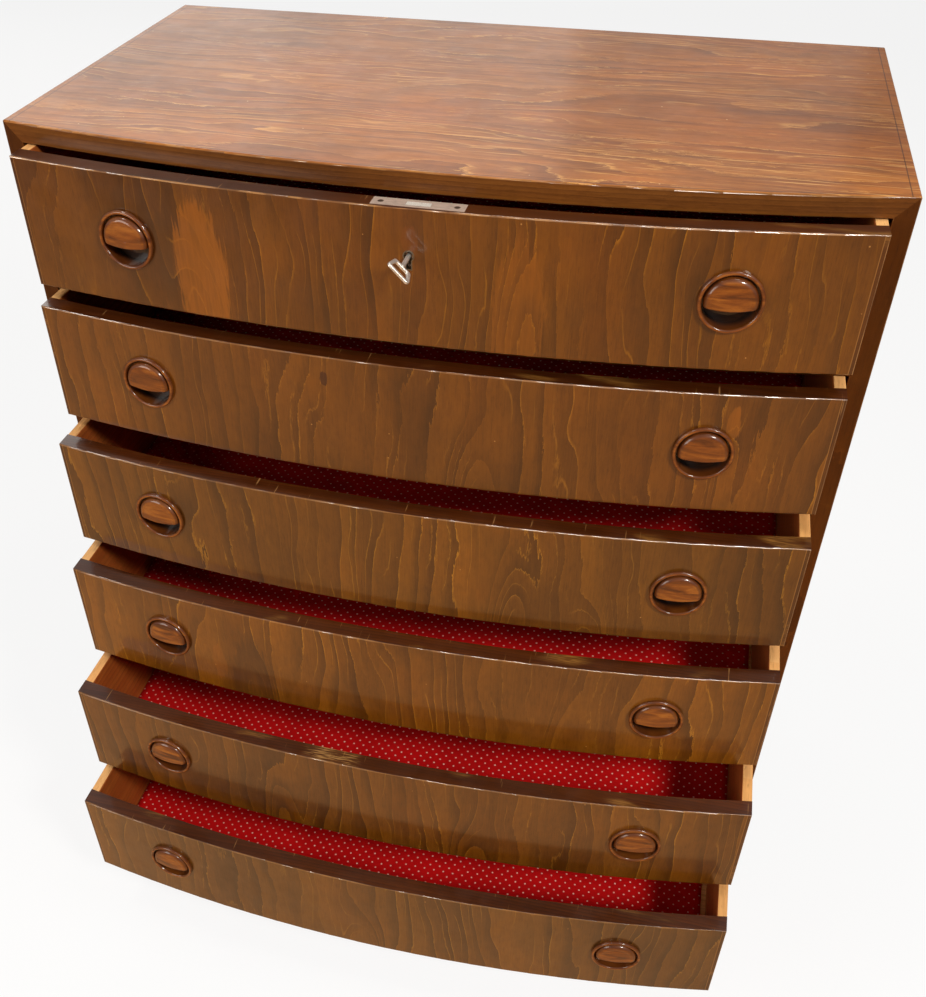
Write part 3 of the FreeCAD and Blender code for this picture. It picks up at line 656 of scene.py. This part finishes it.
FLECK_RANGE = (0.57, 0.66)
FLECK_PATCH_RANGE = (0.5, 0.66, 0.0, 0.7)
FLECK_SLOPE = (0.12, -0.25)     # how fast the flecks get more along X and Y
UPWARD_RANGE = (0.5, 0.8)
STRIP_JOINT_STRENGTH = 0.7


def top_flecks(s):
    """Mask of short pale flecks, most of them in front and at the right."""
    flecks = s.steps(s.noise(TOP_FLECKS, shift=FLECK_SHIFT), *FLECK_RANGE)
    patches = s.noise(FLECK_PATCHES, shift=FLECK_PATCH_SHIFT)
    aside = s.product(s.axis("X"), FLECK_SLOPE[0])
    slope = s.math("MULTIPLY_ADD", s.axis("Y"), FLECK_SLOPE[1], aside)
    return s.product(flecks, s.steps(s.math("ADD", patches, slope), *FLECK_PATCH_RANGE))


def top_material():
    """Veneered top with streaks and pale flecks, and bands of solid wood round its edge."""
    s = Shader("top_veneer")
    low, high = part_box("top_panel")
    face, fibres = veneer(s, "XY", TOP_TONES, TOP_FIGURE, TOP_SEED, TOP_LINES,
                          line_width=TOP_LINE_WIDTH)
    face = s.layered(face, s.noise(TOP_STREAKS, shift=STREAK_SHIFT), STREAK_LAYER)
    face = s.layered(face, s.axis("Y"), FORWARD_LAYER)
    face = s.mix(top_flecks(s), face, TOP_FLECK_TONE)
    joint = s.product(strip_joint(s, low, high), STRIP_JOINT_STRENGTH)
    face = s.mix(joint, face, STRIP_JOINT_TONE)
    band, _ = veneer(s, "XZ", BAND_TONES, BAND_FIGURE, BAND_SEED, EDGE_LINES)
    upward = s.steps(s.axis("Z", "Normal"), *UPWARD_RANGE)
    colour = s.mix(upward, band, with_specks(s, face, TOP_SPECK_TONE))
    return lacquer(s, worn(s, colour, TOP_SEED, EDGE_WEAR), fibres, **TOP_LACQUER)


def case_material(name, grain, seed):
    """Dark, plain veneer of the boards and rails of the case."""
    s = Shader(name)
    colour, fibres = veneer(s, grain, CASE_TONES, CASE_FIGURE, seed, CASE_LINES, CASE_STAINED)
    return lacquer(s, worn(s, colour, seed, EDGE_WEAR), fibres, **CASE_LACQUER)


INWARD_RANGE = (0.4, 0.7)
PALE_ROUGHNESS = 0.6


def pale_material(name, grain, seed, inward=None):
    """Plain solid wood. With inward 1 or -1, the faces that look to +X or -X are darker: painted
    shade and red bounce from the cloth.
    """
    s = Shader(name)
    colour, fibres = veneer(s, grain, PALE_TONES, PALE_FIGURE, seed, PALE_LINES, PALE_STAINED)
    if inward:
        inner_shade, _ = veneer(s, grain, INNER_SHADE_TONES, PALE_FIGURE, seed, PALE_LINES, INNER_SHADE_STAINED)
        # painted shade and red bounce light on the faces that look into the drawer
        facing = s.product(s.axis("X", "Normal"), inward)
        colour = s.mix(s.steps(facing, *INWARD_RANGE), colour, inner_shade)
    s.bump(fibres, *PALE_RELIEF)
    return s.finish(colour, PALE_ROUGHNESS)


PULL_STOPS = (0.3, 0.5, 0.68)   # of the swirls, for the dark, the middle and the light tone
PULL_SLOPE_SHADE_RANGE = (0.985, 0.8, 0.0, 0.7)
HOLLOW_SHADE_STRENGTH = 0.93


def pull_material(number):
    """Turned and lacquered hardwood, with painted shade on its slopes and inside the hollow."""
    s = Shader(f"pull_wood_{number}")
    swirls = s.noise(PULL_SWIRLS, shift=(number, *PULL_PLACE))
    colour = s.ramp(swirls, list(zip(PULL_STOPS, PULL_TONES)))
    fibres = s.noise(PULL_FIBRES)
    colour = s.layered(colour, fibres, PULL_LAYER)
    facing = s.math("ABSOLUTE", s.axis("Y", "Normal"))
    # painted shade: slopes that turn away from the front get the pulls' dark tone
    colour = s.mix(s.steps(facing, *PULL_SLOPE_SHADE_RANGE), colour, PULL_TONES[0])
    low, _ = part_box(f"drawer_{number}_front")
    # painted shade: darker the deeper a point lies in the hollow behind the front's face
    shade = s.steps(behind_bow(s, low), 0.0, HOLLOW_SHADE_DEPTH, 0.0, HOLLOW_SHADE_STRENGTH)
    s.bump(fibres, *PULL_RELIEF)
    return s.finish(s.mix(shade, colour, HOLLOW_SHADE_TONE), **PULL_LACQUER)


# Metals: the nodes, then the material's name, colour, roughness, how metallic it is, and the
# strength of its brushing
METALS = (
    (("lock_case",), "lock_steel", "dcc4b4", 0.36, 0.35, 0.2),
    # painted glint: the bolt's near-white, half-diffuse colour stands in for the light it reflects
    (("lock_bolt",), "bolt_steel", "fffaf0", 0.3, 0.3, 0.2),
    (("keyhole_escutcheon",), "escutcheon_metal", "8d8578", 0.35, 1.0, 0.2),
    (("key",), "key_nickel", "f4f0e8", 0.36, 0.8, 0.03),
    (("lock_screws", "back_screws"), "screw_steel", "a39c92", 0.35, 1.0, 0.2),
)
TARNISH_SHADE = 0.55            # brightness of the tarnish next to the clean metal
TARNISH_RANGE = (0.45, 0.8, 0.0, 0.6)
BRUSHED_SHADE = 0.5
BRUSHED_RANGE = (0.4, 0.65, 0.0, 0.55)
BRUSHED_ROUGH_RANGE = (0.3, 0.7)
BRUSHED_LESS_ROUGH = 0.05
BRUSHED_MORE_ROUGH = 0.1


def metal_material(name, code, roughness, metallic, brushing):
    """Brushed metal with a little tarnish."""
    s = Shader(name)
    brushed = s.noise(BRUSHING)
    base = srgb(code)
    tarnish = s.steps(s.noise(TARNISH), *TARNISH_RANGE)
    colour = s.mix(tarnish, base, tuple(c * TARNISH_SHADE for c in base))
    lines = s.steps(brushed, *BRUSHED_RANGE)
    colour = s.mix(lines, colour, tuple(c * BRUSHED_SHADE for c in base))
    s.bump(brushed, brushing, BRUSHING_HEIGHT)
    ends = (roughness - BRUSHED_LESS_ROUGH, roughness + BRUSHED_MORE_ROUGH)
    rough = s.steps(brushed, *BRUSHED_ROUGH_RANGE, *ends)
    return s.finish(colour, rough, metallic=metallic)


# Cloth

CLOTH_REDS = palette("cc0e10", "e01214")
DOT_TONE = srgb("ffcabc")
RED_RANGE = (0.3, 0.7)
CLOTH_FINISH = {"roughness": 0.85, "ior": 1.2}
SHEEN = {"Sheen Weight": 0.03, "Sheen Roughness": 0.5, "Sheen Tint": (0.8, 0.08, 0.06, 1.0)}


def dots(s):
    """Mask of a staggered lattice of small ragged dots."""
    row = s.math("DIVIDE", s.axis("Y"), DOT_ROW)
    row_number = s.math("ROUND", row)
    odd = s.product(s.math("PINGPONG", row_number, 1.0), 0.5)
    column = s.math("ADD", s.math("DIVIDE", s.axis("X"), DOT_PITCH), odd)
    dx = s.product(s.math("SUBTRACT", column, s.math("ROUND", column)), DOT_PITCH)
    dy = s.product(s.math("SUBTRACT", row, row_number), DOT_ROW)
    away = s.math("MULTIPLY_ADD", s.noise(RAGGED_DOTS), DOT_BLUR, s.length(dx, dy))
    return s.steps(away, DOT_RADIUS + DOT_BLUR, DOT_RADIUS)


def weave(s):
    """Height of plain-woven threads, from -1 to 1."""
    waves = 2 * math.pi / THREAD
    across, back = (s.math("SINE", s.product(s.axis(name), waves)) for name in "XY")
    return s.product(across, back)


def cloth_material():
    """Red cotton with small pale dots."""
    s = Shader("lining_cloth")
    red = s.mix(s.steps(s.noise(CLOTH_CLOUDS), *RED_RANGE), *CLOTH_REDS)
    s.bump(weave(s), *WEAVE_RELIEF)
    for name, value in SHEEN.items():
        s.bsdf.inputs[name].default_value = value
    return s.finish(s.mix(dots(s), red, DOT_TONE), **CLOTH_FINISH)


# Pieces

def new_object(name, data):
    thing = bpy.data.objects.new(name, data)
    bpy.context.scene.collection.objects.link(thing)
    return thing


def bow_behind(middle, radius, x):
    """Place along Y, at x, of an arc of that radius whose foremost point is at middle."""
    return middle + radius - math.sqrt(radius ** 2 - x ** 2)


def cloth_height(x, y, number):
    """How far the top of the cloth stands over the drawer's bottom."""
    ripple = noise.noise(Vector((x * RIPPLES, y * RIPPLES, number * RIPPLE_SHIFT)))
    return CLOTH_THICKNESS + CLOTH_RIPPLE * max(0.0, ripple)


def cloth_mesh(number, low, high):
    """Rippled cloth that fills a box, with a bowed front edge, and its area."""
    columns = round((high.x - low.x) / CLOTH_CELL)
    rows = round((high.y - low.y) / CLOTH_CELL)
    mesh = bmesh.new()
    grid = []
    area = 0.0
    for i in range(columns + 1):
        x = low.x + (high.x - low.x) * i / columns
        front = bow_behind(low.y, BOW_RADIUS - FRONT_THICKNESS, x)
        places = [front + (high.y - front) * j / rows for j in range(rows + 1)]
        points = [(x, y, low.z + cloth_height(x, y, number)) for y in places]
        grid.append([mesh.verts.new(point) for point in points])
        area += (high.y - front) * (high.x - low.x) / (columns + 1)
    for i in range(columns):
        for j in range(rows):
            corners = (grid[i][j], grid[i + 1][j], grid[i + 1][j + 1], grid[i][j + 1])
            mesh.faces.new(corners).smooth = True
    data = bpy.data.meshes.new(f"lining_cloth_{number}")
    mesh.to_mesh(data)
    mesh.free()
    return data, area


def make_lining(number, material):
    """Cloth laid on a drawer's bottom, a little rippled."""
    low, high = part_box(f"drawer_{number}_lining")
    data, area = cloth_mesh(number, low, high)
    data.materials.append(material)
    piece = new_object(f"lining_cloth_{number}", data)
    thick = piece.modifiers.new("thickness", "SOLIDIFY")
    thick.thickness = CLOTH_THICKNESS
    thick.offset = -1.0
    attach(piece, f"drawer_{number}")
    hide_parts(f"drawer_{number}_lining")


def dress(material, *names):
    """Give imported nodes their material."""
    for name in names:
        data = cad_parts[name].data
        data.materials.clear()
        data.materials.append(material)


def dress_drawers():
    cloth = cloth_material()
    side_left = pale_material("drawer_side_left", "YZ", 1.0, inward=1.0)
    side_right = pale_material("drawer_side_right", "YZ", 2.0, inward=-1.0)
    back = pale_material("drawer_back", "XZ", 3.0)
    plywood = pale_material("plywood", "XY", 4.0)
    for number in DRAWERS:
        dress(front_material(number), f"drawer_{number}_front")
        dress(side_left, f"drawer_{number}_side_left")
        dress(side_right, f"drawer_{number}_side_right")
        dress(back, f"drawer_{number}_back")
        dress(plywood, f"drawer_{number}_bottom")
        dress(pull_material(number), f"drawer_{number}_pulls")
        make_lining(number, cloth)


def dress_case():
    dress(top_material(), "top_panel")
    dress(case_material("case_veneer_upright", "ZY", 7.0), "side_left", "side_right")
    level = case_material("case_veneer_level", "XZ", 8.0)
    dress(level, "bottom_panel", "front_rails", "plinth_front", "plinth_back", "plinth_sides")
    dress(pale_material("runner_wood", "YX", 5.0), "drawer_runners", "drawer_stops")
    dress(pale_material("back_plywood", "XZ", 6.0), "back_panel")
    for names, *look in METALS:
        dress(metal_material(*look), *names)


# Stage, light and camera

def add_panel(name, place, target, size, brightness):
    """Rectangular light that looks from place to target."""
    light = bpy.data.lights.new(name, "AREA")
    light.shape = "RECTANGLE"
    light.size, light.size_y = size
    light.energy = brightness * math.pi * size[0] * size[1]
    light.color = PANEL_COLOUR
    lamp = new_object(name, light)
    lamp.location = place
    lamp.rotation_euler = (Vector(target) - Vector(place)).to_track_quat("-Z", "Y").to_euler()


def floor_material():
    """Pale floor, seen by the camera as nearly white with the object's soft shadow."""
    s = Shader("floor")
    path = s.add("ShaderNodeLightPath")
    colour = s.mix(path.outputs["Is Camera Ray"], FLOOR_COLOUR, FLOOR_SEEN)
    s.finish(colour, FLOOR_ROUGHNESS)
    white = s.add("ShaderNodeEmission")
    blend = s.add("ShaderNodeMixShader")
    s.plug(blend.inputs[0], s.product(s.white_share(FLOOR_GLOSSY_SHARE), FLOOR_WHITE))
    s.plug(blend.inputs[1], s.bsdf.outputs[0])
    s.plug(blend.inputs[2], white.outputs[0])
    s.plug(s.tree.nodes["Material Output"].inputs["Surface"], blend.outputs[0])
    return s.material


def make_floor():
    mesh = bpy.data.meshes.new("floor")
    half = FLOOR_SIZE / 2
    corners = [(-half, -half, 0.0), (half, -half, 0.0), (half, half, 0.0), (-half, half, 0.0)]
    mesh.from_pydata(corners, [], [(0, 1, 2, 3)])
    mesh.materials.append(floor_material())
    new_object("floor", mesh)


def make_world():
    """Dim warm light from all around, plain white where the camera sees it."""
    world = bpy.data.worlds.new("studio")
    bpy.context.scene.world = world
    world.use_nodes = True
    tree = Tree(world.node_tree)
    dim = tuple(AMBIENT_STRENGTH * part for part in AMBIENT_COLOUR)
    colour = tree.mix(tree.white_share(GLOSSY_SHARE), dim, WHITE)
    tree.plug(world.node_tree.nodes["Background"].inputs["Color"], colour)


def make_camera():
    data = bpy.data.cameras.new("camera")
    camera = new_object("camera", data)
    long_side = max(IMAGE_SIZE)
    data.sensor_width = SENSOR_MM
    data.lens = LENS_PX / long_side * SENSOR_MM
    data.shift_x = (IMAGE_SIZE[0] / 2 - CENTRE_PX[0]) / long_side
    data.shift_y = (CENTRE_PX[1] - IMAGE_SIZE[1] / 2) / long_side
    data.clip_end = FARTHEST_SEEN
    camera.location = CAMERA_PLACE
    camera.rotation_euler = Euler([math.radians(turn) for turn in CAMERA_TURN], "XYZ")
    bpy.context.scene.camera = camera


make_camera()
make_world()
make_floor()
for panel in PANELS:
    add_panel(*panel)
dress_drawers()
dress_case()
bpy.context.scene.view_settings.view_transform = "Standard"
